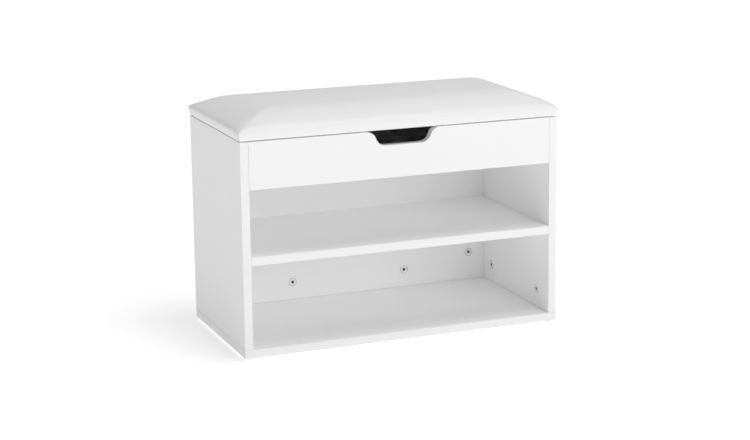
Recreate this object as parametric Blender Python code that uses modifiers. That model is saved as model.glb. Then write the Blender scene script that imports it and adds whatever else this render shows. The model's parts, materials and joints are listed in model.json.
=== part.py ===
"""Entryway bench: a board carcass with two open tiers, a storage box above them and a padded, hinged seat lid.

Frame: +X to the right, the open front faces -Y, +Z up. The origin is on the floor, under the middle of the box
that holds the whole bench. Lengths are in metres.
"""

import math

import bmesh
import bpy
from mathutils import Matrix, Vector

MM = 0.001
FIT = 0.3 * MM  # gap between pieces that touch

# Carcass
BENCH_WIDTH = 600 * MM
CARCASS_DEPTH = 300 * MM
SIDE_TOP = 385 * MM  # top edges of the sides, back and apron above the floor
BOARD = 15 * MM
EDGE_ROUND = 0.6 * MM
SHELF_TOP = 183 * MM
BOX_UNDERSIDE = 301 * MM  # underside of the apron and the storage floor

# Nail-on glides
GLIDE_HEIGHT = 3 * MM
GLIDE_RADIUS = 7 * MM
GLIDE_FROM_EDGE = 11 * MM
NAIL_RADIUS = 1.1 * MM
NAIL_LENGTH = 9 * MM

# Finger notch in the apron's top edge
NOTCH_TOP_WIDTH = 140 * MM
NOTCH_FLAT_WIDTH = 68 * MM
NOTCH_DEPTH = 26 * MM
NOTCH_ARC_STEPS = 8

# Cam locks and their bolts
CAM_RADIUS = 7.5 * MM
CAM_SETBACK = 34 * MM  # cam axis to the face that the board's edge meets
CAM_SKIN = 2.5 * MM  # board left behind a cam
CROSS_LENGTH = 9 * MM
CROSS_WIDTH = 2 * MM
CROSS_DEPTH = 1.8 * MM
BOLT_RADIUS = 3 * MM
BOLT_NECK_RADIUS = 2.1 * MM
BOLT_NECK_LENGTH = 5 * MM
BOLT_HEAD_LENGTH = 3.2 * MM
BOLT_THREAD = 10.5 * MM
HARDWARE_SIDES = 24
BOLT_SIDES = 16

# Places of the cams
SIDE_CAM_FROM_FRONT = 51 * MM
SIDE_CAM_FROM_BACK = 50 * MM
BACK_CAM_SPACING = 228 * MM
BACK_END_CAM_ABOVE_BOTTOM = 55 * MM
SHELF_CAM_FROM_FRONT = 50 * MM
SHELF_CAM_FROM_BACK = 60 * MM

# Glued dowels
DOWEL_RADIUS = 4 * MM
DOWEL_BITE = 10 * MM  # depth in the side panel
DOWEL_ROOT = 8 * MM  # depth in its own board
APRON_DOWEL_FROM_EDGE = 20 * MM
BACK_DOWELS_BELOW_TOP = (40 * MM, 160 * MM)
STORAGE_DOWEL_FROM_CAM = 85 * MM

# Hinges
HINGE_FROM_END = 110 * MM  # bench end to the middle of the hinge
HINGE_LENGTH = 50 * MM
LEAF = 1.2 * MM
LEAF_REACH = 30 * MM  # joint axis to the leaf's far edge
LEAF_OVER_BACK = 0.5 * MM  # air between the back panel's top and the lid leaf
BARREL_RADIUS = 4 * MM
PIN_RADIUS = 1.7 * MM
SCREW_FROM_AXIS = 20 * MM
SCREW_SPACING = 30 * MM
SCREW_RADIUS = 1.8 * MM
SCREW_HEAD_RADIUS = 3.1 * MM
SCREW_LENGTH = 11.5 * MM

# Seat lid
LID_THICKNESS = 43 * MM
LID_BAND = 20 * MM  # upright edge below the rounded shoulder
SHOULDER_WIDTH = 55 * MM
SHOULDER_STEPS = 5
LID_BOARD = 15 * MM
COVER = 0.8 * MM
HEM_WIDTH = 30 * MM
LINING = 0.5 * MM
LINING_FROM_EDGE = 18 * MM
LINING_FROM_LEAF = 2 * MM
BUMPER_RADIUS = 4 * MM
BUMPER_FROM_FRONT = 25 * MM

# Heights and planes that follow
HALF_WIDTH = BENCH_WIDTH / 2
INSIDE_X = HALF_WIDTH - BOARD
CARCASS_BOTTOM = GLIDE_HEIGHT
FLOOR_TOP = CARCASS_BOTTOM + BOARD
REAR_REACH = FIT + 2 * BARREL_RADIUS  # how far the hinge barrels stand behind the carcass
FRONT = -(CARCASS_DEPTH + REAR_REACH) / 2
BACK = FRONT + CARCASS_DEPTH
MIDDLE_Y = (FRONT + BACK) / 2
BACK_FACE = BACK - BOARD
LID_BOTTOM = SIDE_TOP + LEAF_OVER_BACK + LEAF + FIT
LID_TOP = LID_BOTTOM + LID_THICKNESS
AXIS_Y = BACK + FIT + BARREL_RADIUS
AXIS_Z = LID_BOTTOM - FIT - BARREL_RADIUS
CAM_DEPTH = BOARD - CAM_SKIN

UP = Vector((0, 0, 1))
RIGHT = Vector((1, 0, 0))
REAR = Vector((0, 1, 0))
TINY_MERGE = 0.01 * MM


def clear_scene():
    for obj in list(bpy.data.objects):
        bpy.data.objects.remove(obj, do_unlink=True)


def new_collection(name, rendered=True):
    collection = bpy.data.collections.new(name)
    collection.hide_render = not rendered
    bpy.context.scene.collection.children.link(collection)
    return collection


def new_material(name, colour, roughness, metallic=0.0):
    material = bpy.data.materials.new(name)
    material.use_nodes = True
    shader = material.node_tree.nodes["Principled BSDF"]
    shader.inputs["Base Color"].default_value = (*colour, 1.0)
    shader.inputs["Roughness"].default_value = roughness
    shader.inputs["Metallic"].default_value = metallic
    return material


clear_scene()
BENCH = new_collection("entryway_bench")
CUTTERS = new_collection("cutters", rendered=False)
WHITE_BOARD = new_material("white_board", (0.82, 0.82, 0.82), 0.35)
WHITE_LEATHERETTE = new_material("white_leatherette", (0.84, 0.84, 0.83), 0.45)
CREAM_FOAM = new_material("cream_foam", (0.85, 0.80, 0.62), 0.95)
RAW_BOARD = new_material("raw_chipboard", (0.55, 0.42, 0.28), 0.85)
BLACK_FLEECE = new_material("black_fleece", (0.02, 0.02, 0.02), 0.95)
ZINC = new_material("zinc", (0.52, 0.53, 0.55), 0.35, 1.0)
BRIGHT_STEEL = new_material("bright_steel", (0.70, 0.70, 0.71), 0.25, 1.0)
WHITE_PLASTIC = new_material("white_plastic", (0.80, 0.80, 0.80), 0.40)
CLEAR_RUBBER = new_material("pale_rubber", (0.70, 0.70, 0.68), 0.60)


def place(obj, material):
    """Puts a piece in the bench's collection with its finish."""
    BENCH.objects.link(obj)
    obj.data.materials.append(material)
    return obj


def tools_of(obj, operation):
    """The collection of tool bodies that one Boolean cuts from a piece, or joins to it."""
    name = f"{obj.name}_{operation.lower()}"
    if name not in bpy.data.collections:
        tools = bpy.data.collections.new(name)
        CUTTERS.children.link(tools)
        modifier = obj.modifiers.new(operation.lower(), "BOOLEAN")
        modifier.operation = operation
        modifier.solver = "EXACT"
        modifier.operand_type = "COLLECTION"
        modifier.collection = tools
    return bpy.data.collections[name]


def use_tool(obj, tool, operation):
    tools_of(obj, operation).objects.link(tool)
    tool.hide_render = True
    tool.display_type = "WIRE"


def cut(obj, tool):
    use_tool(obj, tool, "DIFFERENCE")


def join(obj, tool):
    use_tool(obj, tool, "UNION")


def turned_frame(origin, z_axis, x_axis=None):
    """Matrix that stands a shape's Z along z_axis, and its X along x_axis where that matters."""
    z_axis = Vector(z_axis).normalized()
    x_axis = Vector(x_axis) if x_axis else z_axis.orthogonal().normalized()
    y_axis = z_axis.cross(x_axis)
    turn = Matrix((x_axis, y_axis, z_axis)).transposed().to_4x4()
    return Matrix.Translation(origin) @ turn


def object_of(name, bm):
    mesh = bpy.data.meshes.new(name)
    bm.to_mesh(mesh)
    bm.free()
    return bpy.data.objects.new(name, mesh)


def box_bmesh(size):
    bm = bmesh.new()
    bmesh.ops.create_cube(bm, size=1)
    bmesh.ops.scale(bm, vec=size, verts=bm.verts)
    return bm


def box(name, low, high):
    """A box between two corners, with its origin at its middle."""
    low, high = Vector(low), Vector(high)
    obj = object_of(name, box_bmesh(high - low))
    obj.location = (low + high) / 2
    return obj


def cylinder(name, radius, start, end, sides):
    """A round bar from start to end."""
    start, end = Vector(start), Vector(end)
    bm = bmesh.new()
    bmesh.ops.create_cone(
        bm, cap_ends=True, segments=sides, radius1=radius, radius2=radius, depth=(end - start).length
    )
    obj = object_of(name, bm)
    obj.matrix_world = turned_frame((start + end) / 2, end - start)
    obj.data.shade_smooth()
    obj.data.set_sharp_from_angle(angle=math.radians(40))
    return obj


def turned(name, profile, frame, sides):
    """A solid of revolution. The profile lists (radius, height) from the top pole down to the bottom pole."""
    mesh = bpy.data.meshes.new(name)
    points = [(radius, 0, height) for radius, height in profile]
    mesh.from_pydata(points, [(i, i + 1) for i in range(len(points) - 1)], [])
    obj = bpy.data.objects.new(name, mesh)
    screw = obj.modifiers.new("turn", "SCREW")
    screw.axis = "Z"
    screw.steps = sides
    screw.render_steps = sides
    screw.use_merge_vertices = True
    screw.merge_threshold = TINY_MERGE
    screw.use_smooth_shade = True
    obj.matrix_world = frame
    return obj


def board(name, low, high, material=WHITE_BOARD):
    """A flat board with slightly rounded edges."""
    obj = place(box(name, low, high), material)
    bevel = obj.modifiers.new("rounded edges", "BEVEL")
    bevel.width = EDGE_ROUND
    bevel.segments = 2
    return obj


def make_panels():
    inner = INSIDE_X - FIT
    back_edge = BACK_FACE - FIT
    sides_low, top = FLOOR_TOP + FIT, SIDE_TOP
    return {
        "bottom": board("bottom_panel", (-HALF_WIDTH, FRONT, CARCASS_BOTTOM), (HALF_WIDTH, BACK, FLOOR_TOP)),
        "left": board("left_side_panel", (-HALF_WIDTH, FRONT, sides_low), (-INSIDE_X, BACK, top)),
        "right": board("right_side_panel", (INSIDE_X, FRONT, sides_low), (HALF_WIDTH, BACK, top)),
        "back": board("back_panel", (-inner, BACK_FACE, sides_low), (inner, BACK, top)),
        "shelf": board("shelf", (-inner, FRONT, SHELF_TOP - BOARD), (inner, back_edge, SHELF_TOP)),
        "storage": board(
            "storage_floor",
            (-inner, FRONT + BOARD + FIT, BOX_UNDERSIDE),
            (inner, back_edge, BOX_UNDERSIDE + BOARD),
        ),
        "apron": board("front_apron", (-inner, FRONT, BOX_UNDERSIDE), (inner, FRONT + BOARD, top)),
    }


def notch_outline():
    """Right half of the notch from its flat bottom to its top, two equal arcs that meet in a smooth S."""
    run = (NOTCH_TOP_WIDTH - NOTCH_FLAT_WIDTH) / 2
    sweep = 2 * math.atan2(NOTCH_DEPTH, run)
    radius = run / (2 * math.sin(sweep))
    lower, upper = [], []
    for step in range(NOTCH_ARC_STEPS + 1):
        angle = sweep * step / NOTCH_ARC_STEPS
        across, rise = radius * math.sin(angle), radius * (1 - math.cos(angle))
        lower.append((NOTCH_FLAT_WIDTH / 2 + across, rise - NOTCH_DEPTH))
        upper.append((NOTCH_TOP_WIDTH / 2 - across, -rise))
    return lower + upper[-2::-1]


def cut_notch(apron):
    """The notch is a flat outline, extruded through the apron."""
    over = 2 * BOARD
    half = notch_outline()
    half.append((NOTCH_TOP_WIDTH / 2, over))
    outline = [*half, *((-x, z) for x, z in reversed(half))]
    curve = bpy.data.curves.new("notch_outline", "CURVE")
    curve.dimensions = "2D"
    curve.fill_mode = "BOTH"
    curve.extrude = over / 2
    spline = curve.splines.new("POLY")
    spline.points.add(len(outline) - 1)
    for point, (x, z) in zip(spline.points, outline):
        point.co = (x, z, 0, 1)
    spline.use_cyclic_u = True
    guide = bpy.data.objects.new("notch_outline", curve)
    bpy.context.scene.collection.objects.link(guide)
    bpy.context.view_layer.update()
    mesh = bpy.data.meshes.new_from_object(guide.evaluated_get(bpy.context.evaluated_depsgraph_get()))
    bpy.data.objects.remove(guide)
    bm = bmesh.new()
    bm.from_mesh(mesh)
    bmesh.ops.remove_doubles(bm, verts=bm.verts, dist=TINY_MERGE)
    bmesh.ops.recalc_face_normals(bm, faces=bm.faces)
    bm.to_mesh(mesh)
    bm.free()
    cutter = bpy.data.objects.new("notch_cutter", mesh)
    cutter.matrix_world = turned_frame((0, FRONT + BOARD / 2, SIDE_TOP), -REAR, RIGHT)
    cut(apron, cutter)


def cross_cutter_mesh():
    """A plus shape for the driver slot, from a cube with its four sides drawn out."""
    bm = box_bmesh((CROSS_WIDTH, CROSS_WIDTH, 2 * CROSS_DEPTH))
    arms = [face for face in bm.faces if abs(face.normal.z) < 0.5]
    reach = (CROSS_LENGTH - CROSS_WIDTH) / 2
    for face in bmesh.ops.extrude_discrete_faces(bm, faces=arms)["faces"]:
        bmesh.ops.translate(bm, vec=face.normal * reach, verts=face.verts)
    mesh = bpy.data.meshes.new("cross_slot")
    bm.to_mesh(mesh)
    bm.free()
    return mesh


def bolt_profile():
    """From the head, inside the cam, down to the threaded end in the other board."""
    head, neck = BOLT_HEAD_LENGTH / 2, BOLT_HEAD_LENGTH / 2 + BOLT_NECK_LENGTH
    shoulder = BOLT_RADIUS - BOLT_NECK_RADIUS
    end = CAM_SETBACK + BOLT_THREAD
    return [
        (0, head),
        (BOLT_RADIUS, head),
        (BOLT_RADIUS, -head),
        (BOLT_NECK_RADIUS, -head),
        (BOLT_NECK_RADIUS, -neck),
        (BOLT_RADIUS, -neck - shoulder),
        (BOLT_RADIUS, shoulder - end),
        (BOLT_NECK_RADIUS, -end),
        (0, -end),
    ]


def cam_joint(name, host, mate, face_point, outward, toward, cross_mesh):
    """Draws host against mate: a cam let into host's face, and a bolt from mate through host's edge into it."""
    face_point, outward, toward = Vector(face_point), Vector(outward), Vector(toward)
    face = turned_frame(face_point, outward, toward)
    hole_bottom, hole_top = face_point - outward * (CAM_DEPTH + FIT), face_point + outward * FIT
    hole = cylinder(f"{name}_cam_hole", CAM_RADIUS + FIT, hole_bottom, hole_top, HARDWARE_SIDES)
    centre = face_point - outward * BOARD / 2
    head_end = BOLT_HEAD_LENGTH / 2 + FIT
    bore_start, bore_end = centre - toward * head_end, centre + toward * (CAM_SETBACK + BOLT_THREAD + FIT)
    bore = cylinder(f"{name}_bolt_hole", BOLT_RADIUS + FIT, bore_start, bore_end, HARDWARE_SIDES)
    slot = bpy.data.objects.new(f"{name}_cross_slot", cross_mesh)
    slot.matrix_world = face
    cut(host, hole)
    cut(host, bore)
    cut(mate, bore)
    cam = cylinder(f"{name}_cam", CAM_RADIUS, face_point - outward * CAM_DEPTH, face_point, HARDWARE_SIDES)
    place(cam, ZINC)
    cut(cam, bore)
    cut(cam, slot)
    bolt = turned(f"{name}_cam_bolt", bolt_profile(), turned_frame(centre, -toward), BOLT_SIDES)
    place(bolt, BRIGHT_STEEL)


def make_cam_joints(panels):
    cross = cross_cutter_mesh()
    above_bottom = FLOOR_TOP + CAM_SETBACK
    side_cam_rows = (("front", FRONT + SIDE_CAM_FROM_FRONT), ("rear", BACK - SIDE_CAM_FROM_BACK))
    shelf_cam_rows = (("front", FRONT + SHELF_CAM_FROM_FRONT), ("rear", BACK - SHELF_CAM_FROM_BACK))
    for side, sign in (("left", -1), ("right", 1)):
        out = RIGHT * sign
        end_x = sign * (INSIDE_X - CAM_SETBACK)
        for row, y in side_cam_rows:
            point = (sign * INSIDE_X, y, above_bottom)
            cam_joint(f"{side}_side_{row}", panels[side], panels["bottom"], point, -out, -UP, cross)
        point = (sign * BACK_CAM_SPACING / 2, BACK_FACE, above_bottom)
        cam_joint(f"back_{side}_lower", panels["back"], panels["bottom"], point, -REAR, -UP, cross)
        point = (end_x, BACK_FACE, FLOOR_TOP + BACK_END_CAM_ABOVE_BOTTOM)
        cam_joint(f"back_{side}_end", panels["back"], panels[side], point, -REAR, out, cross)
        for row, y in shelf_cam_rows:
            point = (end_x, y, SHELF_TOP - BOARD)
            cam_joint(f"shelf_{side}_{row}", panels["shelf"], panels[side], point, -UP, out, cross)
        point = (end_x, MIDDLE_Y, BOX_UNDERSIDE)
        cam_joint(f"storage_{side}", panels["storage"], panels[side], point, -UP, out, cross)


def dowel(host, mate, name, end_point, toward):
    """A dowel glued into host's end, which seats in a hole in mate."""
    end_point, toward = Vector(end_point), Vector(toward)
    root, tip = end_point - toward * DOWEL_ROOT, end_point + toward * DOWEL_BITE
    join(host, cylinder(f"{name}_dowel", DOWEL_RADIUS, root, tip, HARDWARE_SIDES))
    cut(mate, cylinder(f"{name}_dowel_hole", DOWEL_RADIUS + FIT, root, tip + toward * FIT, HARDWARE_SIDES))


def make_dowels(panels):
    apron_y, back_y = FRONT + BOARD / 2, BACK - BOARD / 2
    for side, sign in (("left", -1), ("right", 1)):
        out, x = RIGHT * sign, sign * INSIDE_X
        for level, z in (
            ("lower", BOX_UNDERSIDE + APRON_DOWEL_FROM_EDGE),
            ("upper", SIDE_TOP - APRON_DOWEL_FROM_EDGE),
        ):
            dowel(panels["apron"], panels[side], f"apron_{side}_{level}", (x, apron_y, z), out)
        for number, below_top in enumerate(BACK_DOWELS_BELOW_TOP):
            z = SIDE_TOP - below_top
            dowel(panels["back"], panels[side], f"back_{side}_{number}", (x, back_y, z), out)
        for row, y in (("front", MIDDLE_Y - STORAGE_DOWEL_FROM_CAM), ("rear", MIDDLE_Y + STORAGE_DOWEL_FROM_CAM)):
            z = BOX_UNDERSIDE + BOARD / 2
            dowel(panels["storage"], panels[side], f"storage_{side}_{row}", (x, y, z), out)


def make_glides(bottom):
    """Round plastic feet, each nailed up into the bottom panel."""
    top, chamfer = GLIDE_HEIGHT - FIT, GLIDE_HEIGHT / 3
    nail_top = GLIDE_HEIGHT + NAIL_LENGTH
    profile = [
        (0, nail_top),
        (NAIL_RADIUS / 2, nail_top),
        (NAIL_RADIUS, nail_top - 2 * NAIL_RADIUS),
        (NAIL_RADIUS, top),
        (GLIDE_RADIUS, top),
        (GLIDE_RADIUS, chamfer),
        (GLIDE_RADIUS - chamfer, 0),
        (0, 0),
    ]
    for side, sign in (("left", -1), ("right", 1)):
        for row, y in (("front", FRONT + GLIDE_FROM_EDGE), ("rear", BACK - GLIDE_FROM_EDGE)):
            foot = Vector((sign * (HALF_WIDTH - GLIDE_FROM_EDGE), y, 0))
            frame = Matrix.Translation(foot)
            place(turned(f"{side}_{row}_glide", profile, frame, HARDWARE_SIDES), WHITE_PLASTIC)
            start, end = foot + UP * top, foot + UP * (nail_top + FIT)
            cut(bottom, cylinder(f"{side}_{row}_nail_hole", NAIL_RADIUS + FIT, start, end, BOLT_SIDES))


def crowned_block(low, high, band_top):
    """A block whose upright band ends at band_top, where a rounded shoulder rises to a flat top."""
    low, high = Vector(low), Vector(high)
    bm = box_bmesh((high.x - low.x, high.y - low.y, band_top - low.z))
    middle = ((low.x + high.x) / 2, (low.y + high.y) / 2, (low.z + band_top) / 2)
    bmesh.ops.translate(bm, vec=middle, verts=bm.verts)
    top = max(bm.faces, key=lambda face: face.calc_center_median().z)
    inward = rise = 0
    for step in range(1, SHOULDER_STEPS + 1):
        angle = math.pi / 2 * step / SHOULDER_STEPS
        next_inward = SHOULDER_WIDTH * (1 - math.cos(angle))
        next_rise = (high.z - band_top) * math.sin(angle)
        bmesh.ops.inset_region(
            bm, faces=[top], thickness=next_inward - inward, depth=next_rise - rise, use_even_offset=True
        )
        inward, rise = next_inward, next_rise
    return bm


def seat_cover(band_top):
    """The leatherette skin: sides, shoulders and top, turned under the board in a hem."""
    bm = crowned_block((-HALF_WIDTH, FRONT, LID_BOTTOM), (HALF_WIDTH, BACK, LID_TOP), band_top)
    under = min(bm.faces, key=lambda face: face.calc_center_median().z)
    bmesh.ops.inset_region(bm, faces=[under], thickness=HEM_WIDTH, use_even_offset=True)
    bmesh.ops.delete(bm, geom=[under], context="FACES")
    obj = place(object_of("seat_cover", bm), WHITE_LEATHERETTE)
    skin = obj.modifiers.new("thickness", "SOLIDIFY")
    skin.thickness = COVER
    skin.offset = -1
    skin.use_even_offset = True
    return obj


def make_lid():
    """Board, foam, cover and lining of the seat, bottom to top where they stack."""
    inset = COVER + FIT
    x, front, back = HALF_WIDTH - inset, FRONT + inset, BACK - inset
    band_top = LID_BOTTOM + LID_BAND
    board_low = LID_BOTTOM + inset
    board_high = board_low + LID_BOARD
    lining_x = HALF_WIDTH - LINING_FROM_EDGE
    lining_back = AXIS_Y - LEAF_REACH - LINING_FROM_LEAF
    foam = crowned_block((-x, front, board_high + FIT), (x, back, LID_TOP - inset), band_top - inset)
    lining = box(
        "lid_lining",
        (-lining_x, FRONT + LINING_FROM_EDGE, LID_BOTTOM - FIT - LINING),
        (lining_x, lining_back, LID_BOTTOM - FIT),
    )
    return {
        "board": board("lid_board", (-x, front, board_low), (x, back, board_high), RAW_BOARD),
        "foam": place(object_of("seat_foam", foam), CREAM_FOAM),
        "cover": seat_cover(band_top),
        "lining": place(lining, BLACK_FLEECE),
    }


def screw_profile(gap=0.0):
    """A countersunk screw, its flat head at height 0 and its point below. A gap makes its clearance hole."""
    head, shank = SCREW_HEAD_RADIUS + gap, SCREW_RADIUS + gap
    point = SCREW_LENGTH + gap
    profile = [
        (0, gap),
        (head, gap),
        (head, 0),
        (shank, -LEAF),
        (shank, 2 * SCREW_RADIUS - point),
        (SCREW_RADIUS / 3 + gap, -point),
        (0, -point),
    ]
    return profile if gap else [profile[0], *profile[2:]]


def screw(name, head_point, outward, hosts):
    """A screw with its head flush in a leaf, and the hole that it needs in each host."""
    frame = turned_frame(head_point, outward)
    hole = turned(f"{name}_hole", screw_profile(FIT), frame, BOLT_SIDES)
    for host in hosts:
        cut(host, hole)
    return place(turned(name, screw_profile(), frame, BOLT_SIDES), BRIGHT_STEEL)


def hinge_leaf(name, middle_x, low, high, relief_boxes):
    """A plate joined to the hinge barrel, bored for the pin and cleared where the other leaf's knuckles turn."""
    leaf = place(box(name, low, high), BRIGHT_STEEL)
    left = Vector((middle_x - HINGE_LENGTH / 2, AXIS_Y, AXIS_Z))
    right = left + RIGHT * HINGE_LENGTH
    join(leaf, cylinder(f"{name}_barrel", BARREL_RADIUS, left, right, HARDWARE_SIDES))
    over = RIGHT * BARREL_RADIUS
    cut(leaf, cylinder(f"{name}_bore", PIN_RADIUS + FIT, left - over, right + over, BOLT_SIDES))
    for number, (relief_low, relief_high) in enumerate(relief_boxes):
        cut(leaf, box(f"{name}_relief_{number}", relief_low, relief_high))
    return leaf


def make_hinge(side, middle_x, back_panel, lid):
    """A butt hinge: the body leaf has the two outer knuckles, the lid leaf the middle one."""
    half, third = HINGE_LENGTH / 2, HINGE_LENGTH / 6
    clear, past = BARREL_RADIUS + FIT, 2 * BARREL_RADIUS
    body_leaf = hinge_leaf(
        f"{side}_hinge_body_leaf",
        middle_x,
        (middle_x - half, BACK + FIT, AXIS_Z - LEAF_REACH),
        (middle_x + half, BACK + FIT + LEAF, AXIS_Z),
        [
            (
                (middle_x - third - FIT / 2, AXIS_Y - past, AXIS_Z - clear),
                (middle_x + third + FIT / 2, AXIS_Y + past, AXIS_Z + past),
            )
        ],
    )
    relief = []
    for sign in (-1, 1):
        ends = sorted((middle_x + sign * (third - FIT / 2), middle_x + sign * (half + FIT)))
        relief.append(((ends[0], AXIS_Y - clear, AXIS_Z - past), (ends[1], AXIS_Y + past, AXIS_Z + past)))
    leaf_top = LID_BOTTOM - FIT
    lid_leaf = hinge_leaf(
        f"{side}_hinge_lid_leaf",
        middle_x,
        (middle_x - half, AXIS_Y - LEAF_REACH, leaf_top - LEAF),
        (middle_x + half, AXIS_Y, leaf_top),
        relief,
    )
    pin_ends = [(middle_x - half, AXIS_Y, AXIS_Z), (middle_x + half, AXIS_Y, AXIS_Z)]
    place(cylinder(f"{side}_hinge_pin", PIN_RADIUS, *pin_ends, BOLT_SIDES), BRIGHT_STEEL)
    lid_pieces = [lid_leaf]
    for end, sign in (("left", -1), ("right", 1)):
        x = middle_x + sign * SCREW_SPACING / 2
        body_head = (x, BACK + FIT + LEAF, AXIS_Z - SCREW_FROM_AXIS)
        screw(f"{side}_hinge_body_screw_{end}", body_head, REAR, [body_leaf, back_panel])
        lid_head = (x, AXIS_Y - SCREW_FROM_AXIS, leaf_top - LEAF)
        hosts = [lid_leaf, lid["cover"], lid["board"]]
        lid_pieces.append(screw(f"{side}_hinge_lid_screw_{end}", lid_head, -UP, hosts))
    return lid_pieces


def make_bumpers():
    """Thin stick-on discs on the side panels' top edges, which the closed lid rests on."""
    low, high = SIDE_TOP + FIT, LID_BOTTOM - FIT
    for side, sign in (("left", -1), ("right", 1)):
        x, y = sign * (HALF_WIDTH - BOARD / 2), FRONT + BUMPER_FROM_FRONT
        disc = cylinder(f"{side}_bumper", BUMPER_RADIUS, (x, y, low), (x, y, high), HARDWARE_SIDES)
        place(disc, CLEAR_RUBBER)


def hang_on_axis(pieces):
    """Parents the lid's pieces to an empty on the hinge axis, about which they turn."""
    axis = bpy.data.objects.new("lid_hinge_axis", None)
    axis.location = (0, AXIS_Y, AXIS_Z)
    BENCH.objects.link(axis)
    for piece in pieces:
        piece.parent = axis
        piece.matrix_parent_inverse = Matrix.Translation((0, -AXIS_Y, -AXIS_Z))


def main():
    panels = make_panels()
    cut_notch(panels["apron"])
    make_cam_joints(panels)
    make_dowels(panels)
    make_glides(panels["bottom"])
    make_bumpers()
    lid = make_lid()
    lid_pieces = list(lid.values())
    for side, sign in (("left", -1), ("right", 1)):
        lid_pieces += make_hinge(side, sign * (HALF_WIDTH - HINGE_FROM_END), panels["back"], lid)
    hang_on_axis(lid_pieces)


main()
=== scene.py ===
"""Finishes for the entryway bench: laminated boards, padded seat lid, hinges, cam locks and glides.

Everything is in metres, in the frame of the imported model: +X to the right, the open front faces -Y, +Z up.
"""

import json
import math

import bmesh
import bpy
from mathutils import Matrix, Vector


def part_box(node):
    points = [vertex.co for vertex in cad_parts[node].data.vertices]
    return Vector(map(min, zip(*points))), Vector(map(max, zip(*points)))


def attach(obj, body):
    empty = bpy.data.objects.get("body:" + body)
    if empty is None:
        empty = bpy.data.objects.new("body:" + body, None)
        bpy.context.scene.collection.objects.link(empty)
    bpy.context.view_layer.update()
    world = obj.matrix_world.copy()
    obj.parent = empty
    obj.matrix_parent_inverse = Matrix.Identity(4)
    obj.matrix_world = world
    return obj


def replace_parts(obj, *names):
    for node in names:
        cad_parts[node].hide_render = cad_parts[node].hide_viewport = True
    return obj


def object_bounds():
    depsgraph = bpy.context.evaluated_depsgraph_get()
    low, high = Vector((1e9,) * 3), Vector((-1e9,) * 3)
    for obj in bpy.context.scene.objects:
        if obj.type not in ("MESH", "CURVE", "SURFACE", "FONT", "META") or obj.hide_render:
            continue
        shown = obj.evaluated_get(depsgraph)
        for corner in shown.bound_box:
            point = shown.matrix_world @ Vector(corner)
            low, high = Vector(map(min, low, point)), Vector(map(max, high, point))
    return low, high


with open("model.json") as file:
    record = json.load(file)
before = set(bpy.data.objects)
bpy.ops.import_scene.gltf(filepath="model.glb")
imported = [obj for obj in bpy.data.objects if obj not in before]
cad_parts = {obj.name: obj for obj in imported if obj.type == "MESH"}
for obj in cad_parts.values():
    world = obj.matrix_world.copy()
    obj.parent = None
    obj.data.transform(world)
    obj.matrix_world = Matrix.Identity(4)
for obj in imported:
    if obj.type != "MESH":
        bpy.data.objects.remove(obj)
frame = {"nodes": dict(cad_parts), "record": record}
CAD_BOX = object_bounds()

bl_info = {
    "name": "Entryway Bench Finishes",
    "version": (1, 0, 0),
    "blender": (4, 5, 0),
    "location": "3D View > Sidebar > Bench",
    "description": "Builds the visible pieces and finishes of a small entryway bench",
    "category": "Object",
}

MM = 0.001
MERGE = 0.01 * MM
FOAM_INSET = 1.2 * MM
UP = Vector((0, 0, 1))
RIGHT = Vector((1, 0, 0))
REAR = Vector((0, 1, 0))

SIDES = ("left", "right")
ROWS = ("front", "rear")
FLUSH_BOARDS = ("bottom_panel", "left_side_panel", "right_side_panel")
INSET_BOARDS = ("back_panel", "shelf", "storage_floor", "front_apron")

# Each cam lock, and the way its face looks.
CAMS = {
    **{f"left_side_{row}": RIGHT for row in ROWS},
    **{f"right_side_{row}": -RIGHT for row in ROWS},
    **{f"back_{side}_{row}": -REAR for side in SIDES for row in ("lower", "end")},
    **{f"shelf_{side}_{row}": -UP for side in SIDES for row in ROWS},
    **{f"storage_{side}": -UP for side in SIDES},
}


# ---------------------------------------------------------------- sizes and colours


def size(name, description, default):
    return bpy.props.FloatProperty(name=name, description=description, default=default, unit="LENGTH")


def angle(name, description, degrees):
    return bpy.props.FloatProperty(
        name=name, description=description, default=math.radians(degrees), unit="ROTATION"
    )


def ratio(name, description, default):
    return bpy.props.FloatProperty(name=name, description=description, default=default, unit="NONE")


def colour(name, description, default):
    return bpy.props.FloatVectorProperty(
        name=name, description=description, default=default, size=3, min=0, max=1, subtype="COLOR"
    )


class BoardSettings(bpy.types.PropertyGroup):
    face: colour("Laminate", "Colour of the boards' faces", (0.92, 0.92, 0.92))
    band: colour("Edge Band", "Colour of the bands on the boards' edges", (0.91, 0.91, 0.91))
    chips: colour("Chipboard", "Middle colour of the raw chipboard", (0.52, 0.39, 0.25))
    band_thickness: size("Band Thickness", "Thickness of the edge band", 0.8 * MM)


class LidSettings(bpy.types.PropertyGroup):
    leatherette: colour("Leatherette", "Colour of the seat cover", (0.88, 0.88, 0.875))
    foam: colour("Foam", "Colour of the foam", (0.86, 0.80, 0.60))
    cover_thickness: size("Cover Thickness", "Thickness of the leatherette", 0.8 * MM)
    band_height: size("Band Height", "Upright edge of the seat below its shoulder", 20 * MM)
    shoulder_width: size("Shoulder Width", "How far in the rounded shoulder reaches", 82 * MM)
    hem_width: size("Hem Width", "Leatherette turned under the board", 30 * MM)
    mesh_step: size("Cloth Step", "Side of the cover's cloth squares", 5 * MM)
    most_swell: size("Most Swell", "How far the foam pushes the cover up in the middle", 2.5 * MM)
    belly: size("Belly", "How far the cover's upright edge bulges", 2.4 * MM)


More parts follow.
